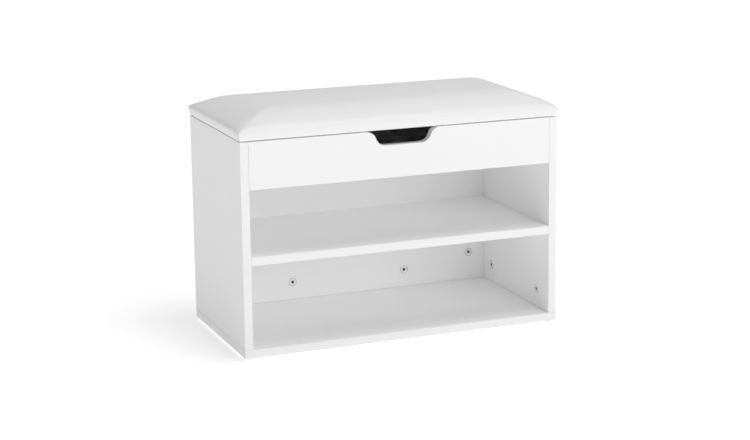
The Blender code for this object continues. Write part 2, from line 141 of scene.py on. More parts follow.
class HardwareSettings(bpy.types.PropertyGroup):
    zinc: colour("Zinc", "Colour of the cam locks", (0.86, 0.86, 0.865))
    steel: colour("Steel", "Colour of the hinges and screws", (0.56, 0.555, 0.54))
    plastic: colour("Plastic", "Colour of the glides", (0.80, 0.80, 0.79))
    cam_rim: size("Cam Rim", "Rounding of a cam's rim", 0.8 * MM)
    cross_length: size("Cross Length", "Length of a driver slot", 6.8 * MM)
    cross_width: size("Cross Width", "Width of a driver slot", 2.8 * MM)
    cross_depth: size("Cross Depth", "Depth of a driver slot", 3.4 * MM)


class StageSettings(bpy.types.PropertyGroup):
    camera_place: bpy.props.FloatVectorProperty(
        name="Camera Place",
        description="Where the camera stands",
        default=(-1.2595, -3.2430, 0.9997),
        size=3,
        subtype="TRANSLATION",
        unit="LENGTH",
    )
    camera_turn: angle("Camera Turn", "Turn to the right from the front", 23.418)
    camera_tilt: angle("Camera Tilt", "Tilt below the horizon", 12.022)
    camera_roll: angle("Camera Roll", "Roll about the view", -0.298)
    lens: bpy.props.FloatProperty(name="Lens", description="Focal length", default=92.907, unit="CAMERA")
    lens_shift_x: ratio("Lens Shift X", "Sideways shift, as a share of the sensor", -0.0933)
    lens_shift_y: ratio("Lens Shift Y", "Upright shift, as a share of the sensor", -0.05)
    floor_side: size("Floor Side", "Side of the floor", 60.0)
    left_air: ratio("Light from the Left", "Strength of the even light on the left", 0.04)
    right_air: ratio("Light from the Right", "Strength of the even light on the right", 0.12)
    brightening: ratio("Brightening", "Gamma of the finished picture", 1.4)


GROUPS = {
    "bench_boards": BoardSettings,
    "bench_lid": LidSettings,
    "bench_hardware": HardwareSettings,
    "bench_stage": StageSettings,
}


# ---------------------------------------------------------------- shader expressions


class Value:
    """A number or colour on a socket. Arithmetic on it adds Math nodes."""

    def __init__(self, finish, socket):
        self.finish = finish
        self.socket = socket

    def math(self, operation, first, second=0.0):
        return self.finish.node("ShaderNodeMath", {"operation": operation}, {0: first, 1: second})

    def __add__(self, other):
        return self.math("ADD", self, other)

    __radd__ = __add__

    def __sub__(self, other):
        return self.math("SUBTRACT", self, other)

    def __rsub__(self, other):
        return self.math("SUBTRACT", other, self)

    def __mul__(self, other):
        return self.math("MULTIPLY", self, other)

    __rmul__ = __mul__

    def __lt__(self, other):
        return self.math("LESS_THAN", self, other)

    def __abs__(self):
        return self.math("ABSOLUTE", self)


class Finish:
    """A material, built from expressions on the place of each point of a piece."""

    def __init__(self, name, **constants):
        self.material = bpy.data.materials.new(name)
        self.material.use_nodes = True
        self.tree = self.material.node_tree
        self.shader = self.tree.nodes["Principled BSDF"]
        for socket, value in constants.items():
            self.shader.inputs[socket.replace("_", " ")].default_value = value
        self.place = self.node("ShaderNodeTexCoord", output="Object")

    def node(self, kind, settings=None, inputs=None, output=0):
        """Adds a node, sets it, then sets or links its sockets, and gives one of its outputs."""
        node = self.tree.nodes.new(kind)
        for name, value in (settings or {}).items():
            setattr(node, name, value)
        for key, value in (inputs or {}).items():
            self.feed(self.socket_of(node.inputs, key), value)
        return Value(self, self.socket_of(node.outputs, output))

    def socket_of(self, sockets, key):
        """A socket by number, or by name among those in use."""
        if isinstance(key, int):
            return sockets[key]
        return next(socket for socket in sockets if socket.enabled and socket.name == key)

    def feed(self, socket, value):
        if isinstance(value, Value):
            self.tree.links.new(value.socket, socket)
        elif socket.type == "RGBA" and len(value) == 3:
            socket.default_value = (*value, 1)
        else:
            socket.default_value = value

    def set(self, **inputs):
        for key, value in inputs.items():
            self.feed(self.shader.inputs[key.replace("_", " ")], value)
        return self.material

    def axes(self):
        split = self.node("ShaderNodeSeparateXYZ", inputs={0: self.place})
        return [Value(self, split.socket.node.outputs[axis]) for axis in range(3)]

    def stretched(self, x, y, z):
        return self.node("ShaderNodeMapping", inputs={"Vector": self.place, "Scale": (x, y, z)})

    def noise(self, scale, detail=2.0, roughness=0.5, place=None):
        inputs = {"Vector": place or self.place, "Scale": scale, "Detail": detail, "Roughness": roughness}
        return self.node("ShaderNodeTexNoise", inputs=inputs, output="Fac")

    def cells(self, scale, feature="F1", output="Distance", randomness=1.0, place=None):
        inputs = {"Vector": place or self.place, "Scale": scale, "Randomness": randomness}
        return self.node("ShaderNodeTexVoronoi", {"feature": feature}, inputs, output)

    def mix(self, share, first, second):
        inputs = {"Factor": share, "A": first, "B": second}
        return self.node("ShaderNodeMix", {"data_type": "RGBA"}, inputs, "Result")

    def bump(self, height, depth, strength):
        inputs = {"Height": height, "Distance": depth, "Strength": strength}
        return self.node("ShaderNodeBump", inputs=inputs, output="Normal")

    def ramp(self, value, low, high):
        inputs = {"Value": value, "From Min": low, "From Max": high}
        return self.node("ShaderNodeMapRange", {"clamp": True}, inputs, "Result")


def toned(shade, factor):
    return tuple(min(1.0, part * factor) for part in shade)


# ---------------------------------------------------------------- finishes


JOINT_LINE = 0.28 * MM


def laminate():
    """Satin white melamine paper pressed on the board, with its fine pearl texture."""
    settings = bpy.context.scene.bench_boards
    finish = Finish("white_laminate")
    cloud = finish.noise(7, 3)
    pearl = finish.noise(900, 2, 0.6)
    smear = finish.noise(35, 3, 0.65)
    _, y, _ = finish.axes()
    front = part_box("shelf")[0].y
    joint = abs(y - (front + settings.band_thickness)) < JOINT_LINE / 2
    shade = finish.mix(cloud, toned(settings.face, 0.985), toned(settings.face, 1.015))
    shade = finish.mix(joint * 0.35, shade, toned(settings.face, 0.55))
    return finish.set(
        Base_Color=shade,
        Roughness=0.34 + 0.09 * smear + 0.05 * pearl,
        Normal=finish.bump(pearl, 0.05 * MM, 0.35),
    )


def edge_band():
    """White plastic band ironed on a cut edge: drawn lengthwise, a little glossier than the laminate."""
    settings = bpy.context.scene.bench_boards
    finish = Finish("edge_band")
    peel = finish.noise(420, 2)
    cloud = finish.noise(18, 2)
    shade = finish.mix(cloud, toned(settings.band, 0.985), toned(settings.band, 1.01))
    return finish.set(
        Base_Color=shade,
        Roughness=0.27 + 0.12 * cloud,
        Normal=finish.bump(peel, 0.04 * MM, 0.4),
    )


def raw_chipboard():
    """Pressed wood chips, bare inside the bores and on the seat's board."""
    middle = bpy.context.scene.bench_boards.chips
    finish = Finish("raw_chipboard", Specular_IOR_Level=0.2)
    flat_chips = finish.stretched(1.0, 1.0, 2.6)
    chips = finish.cells(340, place=flat_chips)
    tint = finish.cells(340, output="Color", place=flat_chips)
    which = finish.node("ShaderNodeSeparateColor", inputs={0: tint})
    fibre = finish.noise(1500, 3, place=finish.stretched(0.25, 1, 1))
    shade = finish.mix(which, toned(middle, 0.55), toned(middle, 1.45))
    shade = finish.mix(fibre * 0.5, shade, toned(middle, 0.8))
    shade = finish.mix(finish.ramp(chips, 0.55, 0.9) * 0.6, shade, toned(middle, 0.3))
    return finish.set(
        Base_Color=shade,
        Roughness=0.78 + 0.15 * fibre,
        Normal=finish.bump(chips * -1.0 + fibre * 0.4, 0.3 * MM, 0.6),
    )


def beech():
    """Dowel wood with its fine lengthwise fibre."""
    finish = Finish("beech_dowel", Specular_IOR_Level=0.25)
    fibre = finish.noise(1800, 4, place=finish.stretched(0.08, 1, 1))
    shade = finish.mix(fibre, (0.62, 0.42, 0.24), (0.80, 0.62, 0.42))
    return finish.set(
        Base_Color=shade,
        Roughness=0.6 + 0.2 * fibre,
        Normal=finish.bump(fibre, 0.1 * MM, 0.5),
    )


def leatherette():
    """Smooth white coated cloth: shallow pebbled grain with fine pores, a soft satin gloss."""
    shade = bpy.context.scene.bench_lid.leatherette
    finish = Finish("seat_leatherette", Specular_IOR_Level=0.45, Coat_Roughness=0.35, Sheen_Weight=0.05)
    drift = finish.node("ShaderNodeTexNoise", inputs={"Vector": finish.place, "Scale": 260.0}, output="Color")
    reach = (1.6 * MM, 1.6 * MM, 1.6 * MM)
    wander = finish.node(
        "ShaderNodeVectorMath", {"operation": "MULTIPLY_ADD"}, {0: drift, 1: reach, 2: finish.place}
    )
    pebble = finish.cells(620, "SMOOTH_F1", place=wander)
    groove = finish.cells(620, "DISTANCE_TO_EDGE", place=wander)
    pores = finish.noise(2600, 1)
    cloud = finish.noise(9, 3)
    grooves = 1.0 - finish.ramp(groove, 0.0, 0.12)
    tone = finish.mix(cloud, toned(shade, 0.985), toned(shade, 1.012))
    tone = finish.mix(grooves * 0.10, tone, toned(shade, 0.82))
    height = groove * 0.9 + pores * 0.12 - pebble * 0.25
    return finish.set(
        Base_Color=tone,
        Roughness=0.40 + 0.10 * cloud + 0.10 * grooves,
        Coat_Weight=0.10 - 0.08 * grooves,
        Normal=finish.bump(height, 0.12 * MM, 0.35),
    )


def foam():
    """Open-cell foam, cut flat."""
    shade = bpy.context.scene.bench_lid.foam
    finish = Finish("cream_foam", Specular_IOR_Level=0.15)
    cell = finish.cells(1500)
    coarse = finish.cells(600)
    cloud = finish.noise(15, 3)
    tone = finish.mix(cell, toned(shade, 1.05), toned(shade, 0.62))
    tone = finish.mix(cloud * 0.3, tone, toned(shade, 0.85))
    return finish.set(
        Base_Color=tone,
        Roughness=0.88 + 0.1 * cell,
        Normal=finish.bump(cell + coarse * 0.5, 0.5 * MM, 0.8),
    )


def fleece():
    """Black bonded-fibre cloth: matted threads with pressed dots."""
    finish = Finish("black_fleece", Specular_IOR_Level=0.2, Sheen_Weight=0.3, Sheen_Roughness=0.6)
    along = finish.noise(1300, 4, 0.7, finish.stretched(0.35, 1.0, 1.0))
    across = finish.noise(1300, 4, 0.7, finish.stretched(1.0, 0.3, 1.0))
    dots = 1.0 - finish.ramp(finish.cells(450, randomness=0.15), 0.22, 0.34)
    threads = finish.node("ShaderNodeMath", {"operation": "MAXIMUM"}, {0: along, 1: across})
    tone = finish.mix(finish.ramp(threads, 0.45, 0.75), (0.010, 0.010, 0.011), (0.050, 0.050, 0.053))
    tone = finish.mix(dots * 0.7, tone, (0.008, 0.008, 0.009))
    return finish.set(
        Base_Color=tone,
        Roughness=0.92 - 0.25 * dots,
        Normal=finish.bump(threads - dots * 0.5, 0.25 * MM, 0.8),
    )


def zinc():
    """Pale die-cast zinc, matt with a fine cast skin and a few rubbed spots."""
    shade = bpy.context.scene.bench_hardware.zinc
    finish = Finish("cast_zinc", Metallic=0.5)
    cast = finish.noise(1400, 3, 0.65)
    rubbed = finish.ramp(finish.noise(220, 3), 0.45, 0.7)
    tone = finish.mix(cast, toned(shade, 0.86), toned(shade, 1.1))
    return finish.set(
        Base_Color=tone,
        Roughness=0.5 - 0.16 * rubbed,
        Normal=finish.bump(cast, 0.06 * MM, 0.5),
    )


def painted_shade_zinc():
    """Near-black zinc: painted shade in the driver's cross and a painted shadow of the gap round the rim."""
    finish = Finish("painted_shade_zinc", Specular_IOR_Level=0.2)
    # A faint mottle in the painted shade's colour, roughness and bump.
    shade_mottle = finish.noise(500, 3, 0.6)
    tone = finish.mix(shade_mottle, (0.004, 0.004, 0.005), (0.020, 0.020, 0.019))
    return finish.set(
        Base_Color=tone,
        Roughness=0.45 + 0.3 * shade_mottle,
        Normal=finish.bump(shade_mottle, 0.05 * MM, 0.4),
    )


def steel():
    """Nickel-plated steel with light tumbling marks and handling smears."""
    shade = bpy.context.scene.bench_hardware.steel
    finish = Finish("plated_steel", Metallic=1.0)
    drawn = finish.noise(900, 3, 0.6, finish.stretched(0.06, 1.0, 1.0))
    smear = finish.noise(60, 3, 0.6)
    tone = finish.mix(smear, toned(shade, 0.9), toned(shade, 1.08))
    return finish.set(
        Base_Color=tone,
        Roughness=0.20 + 0.12 * smear + 0.08 * drawn,
        Normal=finish.bump(drawn, 0.02 * MM, 0.4),
    )


def white_plastic():
    """Moulded nylon, faintly frosted."""
    shade = bpy.context.scene.bench_hardware.plastic
    finish = Finish("white_plastic", Specular_IOR_Level=0.45)
    frost = finish.noise(1100, 2, 0.6)
    cloud = finish.noise(45, 2)
    tone = finish.mix(cloud, toned(shade, 0.96), toned(shade, 1.02))
    return finish.set(
        Base_Color=tone,
        Roughness=0.42 + 0.1 * frost,
        Normal=finish.bump(frost, 0.04 * MM, 0.5),
    )


def pale_rubber():
    """Milky soft rubber."""
    finish = Finish("pale_rubber", Specular_IOR_Level=0.35)
    cloud = finish.noise(160, 3)
    grain = finish.noise(1500, 2)
    tone = finish.mix(cloud, (0.62, 0.62, 0.60), (0.74, 0.74, 0.71))
    return finish.set(
        Base_Color=tone,
        Roughness=0.5 + 0.15 * grain,
        Normal=finish.bump(grain, 0.03 * MM, 0.5),
    )


MAKERS = {
    "laminate": laminate,
    "edge_band": edge_band,
    "raw_chipboard": raw_chipboard,
    "beech": beech,
    "leatherette": leatherette,
    "foam": foam,
    "fleece": fleece,
    "zinc": zinc,
    "painted_shade_zinc": painted_shade_zinc,
    "steel": steel,
    "white_plastic": white_plastic,
    "pale_rubber": pale_rubber,
}
made = {}


def finish_of(name):
    """Each finish is made once, when a piece first needs it."""
    if name not in made:
        made[name] = MAKERS[name]()
    return made[name]


# ---------------------------------------------------------------- mesh helpers


def piece_from(name, bm, body, slot, *finishes):
    """Turns a bmesh into a piece that rides on a body."""
    mesh = bpy.data.meshes.new(name)
    bm.to_mesh(mesh)
    bm.free()
    obj = bpy.data.objects.new(name, mesh)
    bpy.context.scene.collection.objects.link(obj)
    for finish in finishes:
        mesh.materials.append(finish_of(finish))
    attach(obj, body)
    return obj


def smooth(obj, limit=35):
    """Shades rounded edges smoothly while the large faces stay flat."""
    obj.data.shade_smooth()
    obj.data.set_sharp_from_angle(angle=math.radians(limit))
    normals = obj.modifiers.new("flat faces", "WEIGHTED_NORMAL")
    normals.keep_sharp = True
    normals.weight = 100
    return obj


def welded_copy(node):
    """A bmesh of a CAD node with its loose triangles merged into flat faces."""
    bm = bmesh.new()
    bm.from_mesh(frame["nodes"][node].data)
    bmesh.ops.remove_doubles(bm, verts=bm.verts, dist=MERGE)
    bmesh.ops.dissolve_limit(
        bm, angle_limit=math.radians(1), verts=bm.verts, edges=bm.edges, delimit={"NORMAL"}
    )
    return bm


def repaint(node, finish):
    """Gives a CAD node that keeps its own mesh a finish."""
    materials = frame["nodes"][node].data.materials
    materials.clear()
    materials.append(finish_of(finish))


def body_of(node):
    return next(body for body, members in frame["record"]["behaviour"]["bodies"].items() if node in members)


def standing(origin, z_axis):
    """Matrix that stands a shape's Z along z_axis."""
    x_axis = z_axis.orthogonal().normalized()
    turn = Matrix((x_axis, z_axis.cross(x_axis), z_axis)).transposed().to_4x4()
    return Matrix.Translation(origin) @ turn


def everything(bm):
    return bm.verts[:] + bm.edges[:] + bm.faces[:]


def eased(bm, edges, offset, segments):
    bmesh.ops.bevel(
        bm, geom=edges, offset=offset, affect="EDGES", segments=segments, profile=0.5, material=-1
    )


def box_bmesh(low, high):
    low, high = Vector(low), Vector(high)
    bm = bmesh.new()
    bmesh.ops.create_cube(bm, size=1)
    bmesh.ops.scale(bm, vec=high - low, verts=bm.verts)
    bmesh.ops.translate(bm, vec=(low + high) / 2, verts=bm.verts)
    return bm


def turned(profile, sides):
    """A closed solid of revolution about Z, from (radius, height) pairs that start and end on the axis."""
    bm = bmesh.new()
    verts = [bm.verts.new((radius, 0, height)) for radius, height in profile]
    edges = [bm.edges.new(pair) for pair in zip(verts, verts[1:])]
    bmesh.ops.spin(
        bm, geom=verts + edges, cent=(0, 0, 0), axis=UP, angle=2 * math.pi, steps=sides, use_merge=True
    )
    bmesh.ops.remove_doubles(bm, verts=bm.verts, dist=MERGE)
    bmesh.ops.recalc_face_normals(bm, faces=bm.faces)
    return bm


def arc(centre_radius, centre_height, radius, start, end, steps):
    """Points of a profile along an arc, with its angles in degrees from the outward direction."""
    points = []
    for step in range(steps + 1):
        bend = math.radians(start + (end - start) * step / steps)
        points.append((centre_radius + radius * math.cos(bend), centre_height + radius * math.sin(bend)))
    return points


# ---------------------------------------------------------------- boards


BOARD_FINISHES = ("laminate", "edge_band", "raw_chipboard", "beech")
LAMINATE, BAND, CHIPS, DOWEL = range(4)
SKIN = 1.6 * MM
FACE_SLACK = 0.05 * MM


def board_finish(centre, low, high, raw_end, cut_finish):
    """The finish of a board's face whose middle is centre: a dowel, a cut, a broad face or an edge."""
    if raw_end is not None and abs(centre.x) > raw_end + MERGE:
        return DOWEL
    if all(low[axis] + SKIN < centre[axis] < high[axis] - SKIN for axis in range(3)):
        return cut_finish
    thin = min(range(3), key=lambda axis: high[axis] - low[axis])
    on_face = min(centre[thin] - low[thin], high[thin] - centre[thin]) < FACE_SLACK
    return LAMINATE if on_face else BAND


def make_board(node, raw_end):
    """A board with its finishes. raw_end is where its wood ends on each side and its dowels begin."""
    bm = welded_copy(node)
    low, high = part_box(node)
    cut_finish = BAND if node == "front_apron" else CHIPS
    if raw_end is not None:
        low.x, high.x = -raw_end, raw_end
    for face in bm.faces:
        centre = face.calc_center_median()
        face.material_index = board_finish(centre, low, high, raw_end, cut_finish)
    obj = piece_from(f"{node}_finished", bm, body_of(node), "white_board", *BOARD_FINISHES)
    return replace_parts(smooth(obj, 30), node)


class BENCH_OT_boards(bpy.types.Operator):
    """Faces, edge bands, bores and dowels of the carcass boards"""

    bl_idname = "bench.boards"
    bl_label = "Boards"

    def execute(self, context):
        for node in FLUSH_BOARDS:
            make_board(node, None)
        raw_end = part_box("right_side_panel")[0].x - 0.3 * MM
        for node in INSET_BOARDS:
            make_board(node, raw_end)
        return {"FINISHED"}


# ---------------------------------------------------------------- seat lid


CLOTH_FRAMES = 20
SHOULDER_FULLNESS = 1.9
RIDGE_SOFTNESS = 7
BAND_STEPS = 4
BAND_SOFTENING = 8
BELLY_DEPTH = 1 / 3
HELD_SHARE = 0.3
SWELL_ROOM = 0.6
PRESSURE = 4
CLOTH_STIFFNESS = 30
CLOTH_BENDING = 2
CORNER_TIGHTNESS = 0.8
HEM_TIGHTNESS = 0.7


def cover_cage(low, high, settings):
    """The cover's closed skin as a grid of squares, crowned on top and bellied at its upright band."""
    bm = box_bmesh(low, high)
    for axis, way in enumerate((RIGHT, REAR, UP)):
        span = high[axis] - low[axis]
        count = max(2, round(span / settings.mesh_step))
        cuts = [low[axis] + span * step / count for step in range(1, count)]
        if way is UP:
            step_height = settings.band_height / BAND_STEPS
            cuts = [low.z + step_height * step for step in range(1, BAND_STEPS + 1)]
        for place in cuts:
            bmesh.ops.bisect_plane(bm, geom=everything(bm), dist=MERGE, plane_co=way * place, plane_no=way)
    crown(bm, low, high, settings)
    belly(bm, low, high, settings)
    return bm


def belly(bm, low, high, settings):
    """Pushes the sides out, most at the top of the band."""
    middle = (low + high) / 2
    depth = settings.shoulder_width * BELLY_DEPTH
    for vert in bm.verts:
        rise = (vert.co.z - low.z) / settings.band_height
        bulge = settings.belly * math.sin(math.pi / 2 * min(rise, max(0, 2 - rise)))
        for axis in (0, 1):
            half = high[axis] - middle[axis]
            reach = (vert.co[axis] - middle[axis]) / half
            edge = max(0, abs(reach) * half - half + depth) / depth
            vert.co[axis] += math.copysign(bulge * min(1, edge), reach)


def crown(bm, low, high, settings):
    """Bends the block's flat top into rounded shoulders that start at the band and meet in soft ridges."""
    band_top = low.z + settings.band_height
    rise = high.z - band_top - settings.most_swell * SWELL_ROOM
    width = settings.shoulder_width
    for vert in bm.verts:
        if vert.co.z > high.z - MERGE:
            across = 1 - min(1, min(vert.co.x - low.x, high.x - vert.co.x) / width)
            along = 1 - min(1, min(vert.co.y - low.y, high.y - vert.co.y) / width)
            out = min(1, (across**RIDGE_SOFTNESS + along**RIDGE_SOFTNESS) ** (1 / RIDGE_SOFTNESS))
            vert.co.z = band_top + rise * (1 - out**SHOULDER_FULLNESS)
    bmesh.ops.remove_doubles(bm, verts=bm.verts, dist=MERGE)
    bmesh.ops.dissolve_degenerate(bm, dist=MERGE, edges=bm.edges)
    turn = [vert for vert in bm.verts if band_top - 2 * MM < vert.co.z < band_top + 10 * MM]
    for _ in range(BAND_SOFTENING):
        bmesh.ops.smooth_vert(bm, verts=turn, factor=0.5, use_axis_x=True, use_axis_y=True, use_axis_z=True)


class BENCH_OT_lid(bpy.types.Operator):
    """Padded seat: cover, foam, lining and staples"""

    bl_idname = "bench.lid"
    bl_label = "Seat Lid"

    def execute(self, context):
        settings = context.scene.bench_lid
        make_cover(settings)
        make_lining()
        repaint("lid_board", "raw_chipboard")
        return {"FINISHED"}


def swell(obj, held, most):
    """Blows the cover up as cloth. Board and foam let no point move in, and the furthest goes out by most."""
    start = [vert.co.copy() for vert in obj.data.vertices]
    out = [vert.normal.copy() for vert in obj.data.vertices]
    group = obj.vertex_groups.new(name="held")
    group.add([i for i, co in enumerate(start) if held(co)], 1.0, "REPLACE")
    cloth = obj.modifiers.new("swell", "CLOTH")
    cloth.settings.vertex_group_mass = group.name
    cloth.settings.use_pressure = True
    cloth.settings.uniform_pressure_force = PRESSURE
    cloth.settings.effector_weights.gravity = 0
    cloth.settings.tension_stiffness = CLOTH_STIFFNESS
    cloth.settings.compression_stiffness = CLOTH_STIFFNESS
    cloth.settings.bending_stiffness = CLOTH_BENDING
    cloth.point_cache.frame_start, cloth.point_cache.frame_end = 1, CLOTH_FRAMES
    for step in range(1, CLOTH_FRAMES + 1):
        bpy.context.scene.frame_set(step)
    graph = bpy.context.evaluated_depsgraph_get()
    moved = [vert.co.copy() for vert in obj.evaluated_get(graph).data.vertices]
    bpy.context.scene.frame_set(1)
    obj.modifiers.remove(cloth)
    obj.vertex_groups.remove(group)
    travel = [max(0.0, (after - before).dot(way)) for before, after, way in zip(start, moved, out)]
    furthest = max(travel)
    for vert, before, way, far in zip(obj.data.vertices, start, out, travel):
        vert.co = before + way * far * most / furthest


def make_cover(settings):
    low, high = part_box("seat_cover")
    bm = cover_cage(low, high, settings)
    obj = piece_from("padded_seat_cover", bm, "lid", "seat_leatherette", "leatherette")
    swell(obj, lambda co: co.z < low.z + settings.band_height * HELD_SHARE, settings.most_swell)
    bm = bmesh.new()
    bm.from_mesh(obj.data)
    make_foam(bm.copy())
    open_under(bm, low, high, settings.hem_width)
    crease(bm, low, high, low.z + settings.band_height)
    bm.to_mesh(obj.data)
    bm.free()
    obj.data.shade_smooth()
    rounding = obj.modifiers.new("rounding", "SUBSURF")
    rounding.levels = rounding.render_levels = 1
    thickness = obj.modifiers.new("thickness", "SOLIDIFY")
    thickness.thickness = settings.cover_thickness
    thickness.offset = -1
    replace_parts(obj, "seat_cover")


def open_under(bm, low, high, hem):
    """Cuts the cover's underside away inside its hem."""
    under = []
    for face in bm.faces:
        centre = face.calc_center_median()
        inside = low.x + hem < centre.x < high.x - hem and low.y + hem < centre.y < high.y - hem
        if inside and face.normal.z < -0.9 and centre.z < low.z + MERGE:
            under.append(face)
    bmesh.ops.delete(bm, geom=under, context="FACES")


def crease(bm, low, high, band_top):
    """Keeps the upright corners and the turned-under edge tight when the cover is rounded."""
    layer = bm.edges.layers.float.new("crease_edge")
    near = 2.5 * MM
    for edge in bm.edges:
        first, second = (vert.co for vert in edge.verts)
        upright = abs(first.z - second.z) > 1 * MM and max(first.z, second.z) < band_top - 3 * MM
        at_corner = abs(abs(first.x) - high.x) < near and min(first.y - low.y, high.y - first.y) < near
        sole = all(abs(co.z - low.z) < MERGE for co in (first, second)) and len(edge.link_faces) == 2
        if upright and at_corner:
            edge[layer] = CORNER_TIGHTNESS
        elif sole and any(abs(face.normal.z) < 0.5 for face in edge.link_faces):
            edge[layer] = HEM_TIGHTNESS


def make_foam(bm):
    """The foam under the cover: the cover's own shape above the board, one skin further in."""
    low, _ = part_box("seat_foam")
    plane = UP * (low.z + FOAM_INSET)
    bmesh.ops.bisect_plane(
        bm, geom=everything(bm), dist=MERGE, plane_co=plane, plane_no=UP, clear_inner=True
    )
    bm.normal_update()
    for vert, way in [(vert, vert.normal.copy()) for vert in bm.verts]:
        vert.co -= way * FOAM_INSET
    rim = [edge for edge in bm.edges if edge.is_boundary]
    for vert in {vert for edge in rim for vert in edge.verts}:
        vert.co.z = low.z
    bmesh.ops.contextual_create(bm, geom=rim)
    bmesh.ops.recalc_face_normals(bm, faces=bm.faces)
    obj = smooth(piece_from("foam_pad", bm, "lid", "seat_foam", "foam"), 40)
    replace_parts(obj, "seat_foam")


def make_lining():
    """The black dust cloth under the seat, its edge turned in, with the staples that hold it."""
    low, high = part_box("lid_lining")
    bm = box_bmesh(low, high)
    sole = min(bm.faces, key=lambda face: face.calc_center_median().z)
    bmesh.ops.inset_region(bm, faces=[sole], thickness=8 * MM, use_even_offset=True)
    bmesh.ops.inset_region(bm, faces=[sole], thickness=0.6 * MM, depth=-0.2 * MM, use_even_offset=True)
    corners = []
    for edge in bm.edges:
        drop = abs(edge.verts[0].co.z - edge.verts[1].co.z)
        if drop > 0.3 * MM and edge.calc_length() < 1 * MM:
            corners.append(edge)
    eased(bm, corners, 2 * MM, 4)
    obj = piece_from("dust_cloth", bm, "lid", "lid_lining", "fleece")
    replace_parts(smooth(obj), "lid_lining")
    make_staples(low, high)


STAPLE_LENGTH = 10 * MM
STAPLE_WIRE = 0.7 * MM
STAPLE_DROP = 0.055 * MM
STAPLE_INSET = 4 * MM
STAPLE_SPACING = 38 * MM


def make_staples(low, high):
    """Staple crowns along the turned edge of the dust cloth."""
    bm = bmesh.new()
    first = Vector((low.x, low.y, low.z)) + (RIGHT + REAR) * STAPLE_INSET
    last = Vector((high.x, high.y, low.z)) - (RIGHT + REAR) * STAPLE_INSET
    runs = [(Vector((first.x, y, low.z)), RIGHT, last.x - first.x) for y in (first.y, last.y)]
    runs += [(Vector((x, first.y, low.z)), REAR, last.y - first.y) for x in (first.x, last.x)]
    for start, along, length in runs:
        across = Vector((along.y, along.x, 0))
        spans = along * STAPLE_LENGTH + (across + UP) * STAPLE_WIRE
        count = round(length / STAPLE_SPACING)
        for number in range(count):
            middle = start + along * length * (number + 0.5) / count - UP * STAPLE_DROP
            place = Matrix.Translation(middle) @ Matrix.Diagonal((*spans, 1))
            bmesh.ops.create_cube(bm, size=1, matrix=place)
    eased(bm, bm.edges[:], 0.12 * MM, 2)
    smooth(piece_from("lining_staples", bm, "lid", "steel", "steel"), 60)


# ---------------------------------------------------------------- hardware


CAM_SIDES = 48
RIM_STEPS = 4


def make_cam(name, outward, settings):
    """A cam lock's body: a rounded disc with a deep cross for the driver."""
    node = f"{name}_cam"
    low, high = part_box(node)
    middle = (low + high) / 2
    depth = abs((high - low).dot(outward))
    radius = max(high - low) / 2
    face = middle + outward * depth / 2
    rim = settings.cam_rim
    bm = bmesh.new()
    outer = bmesh.ops.create_circle(bm, segments=CAM_SIDES, radius=radius - rim)["verts"]
    half, arm = settings.cross_width / 2, settings.cross_length / 2
    arm_points = [Vector((half, half, 0)), Vector((half, arm, 0)), Vector((-half, arm, 0))]
    cross = []
    for turn in range(4):
        spin = Matrix.Rotation(math.radians(90 * turn), 3, "Z")
        cross += [bm.verts.new(spin @ point) for point in arm_points]
    inner = [bm.edges.new(pair) for pair in zip(cross, cross[1:] + cross[:1])]
    ring = list({edge for vert in outer for edge in vert.link_edges})
    bmesh.ops.triangle_fill(bm, use_beauty=True, use_dissolve=False, edges=inner + ring, normal=UP)
    bare = set(bm.faces)
    slot = drawn_down(bm, inner, settings.cross_depth)
    bmesh.ops.contextual_create(bm, geom=slot)
    loop = ring
    for step in range(1, RIM_STEPS + 1):
        bend = math.radians(90 * step / RIM_STEPS)
        loop = drawn_out(bm, loop, radius - rim + rim * math.sin(bend), -rim * (1 - math.cos(bend)))
        if step == 1:
            bare |= {face for edge in loop for face in edge.link_faces}
    loop = drawn_out(bm, loop, radius, -depth + rim)
    loop = drawn_out(bm, loop, radius - rim, -depth)
    bmesh.ops.contextual_create(bm, geom=loop)
    # All faces but the flat top and the rim's first step take the near-black zinc: painted shade in the cross
    # and round the rim.
    for cam_face in bm.faces:
        cam_face.material_index = 0 if cam_face in bare else 1
    bmesh.ops.recalc_face_normals(bm, faces=bm.faces)
    bmesh.ops.transform(bm, matrix=standing(face, outward), verts=bm.verts)
    obj = piece_from(f"{node}_lock", bm, body_of(node), "zinc", "zinc", "painted_shade_zinc")
    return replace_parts(smooth(obj, 40), node)


def drawn(bm, loop):
    """Extrudes a ring of edges in place, and gives the new points and edges."""
    new = bmesh.ops.extrude_edge_only(bm, edges=loop)["geom"]
    verts = [item for item in new if isinstance(item, bmesh.types.BMVert)]
    edges = [item for item in new if isinstance(item, bmesh.types.BMEdge)]
    return verts, edges


def drawn_down(bm, loop, depth):
    """Extrudes a ring of edges straight down."""
    verts, edges = drawn(bm, loop)
    bmesh.ops.translate(bm, vec=-UP * depth, verts=verts)
    return edges


def drawn_out(bm, loop, radius, height):
    """Extrudes a ring of edges to a new radius and height."""
    verts, edges = drawn(bm, loop)
    for vert in verts:
        across = Vector((vert.co.x, vert.co.y, 0)).normalized()
        vert.co = across * radius + UP * height
    return edges


class BENCH_OT_cams(bpy.types.Operator):
    """Cam locks and their bolts"""

    bl_idname = "bench.cams"
    bl_label = "Cam Locks"

    def execute(self, context):
        for name, outward in CAMS.items():
            make_cam(name, outward, context.scene.bench_hardware)
            repaint(f"{name}_cam_bolt", "steel")
        return {"FINISHED"}


def refined_metal(node, name):
    """A CAD node's shape with its sharp edges eased."""
    bm = welded_copy(node)
    obj = piece_from(name, bm, body_of(node), "steel", "steel")
    easing = obj.modifiers.new("eased edges", "BEVEL")
    easing.width = 0.15 * MM
    easing.segments = 2
    easing.limit_method = "ANGLE"
    easing.angle_limit = math.radians(40)
    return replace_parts(smooth(obj, 40), node)


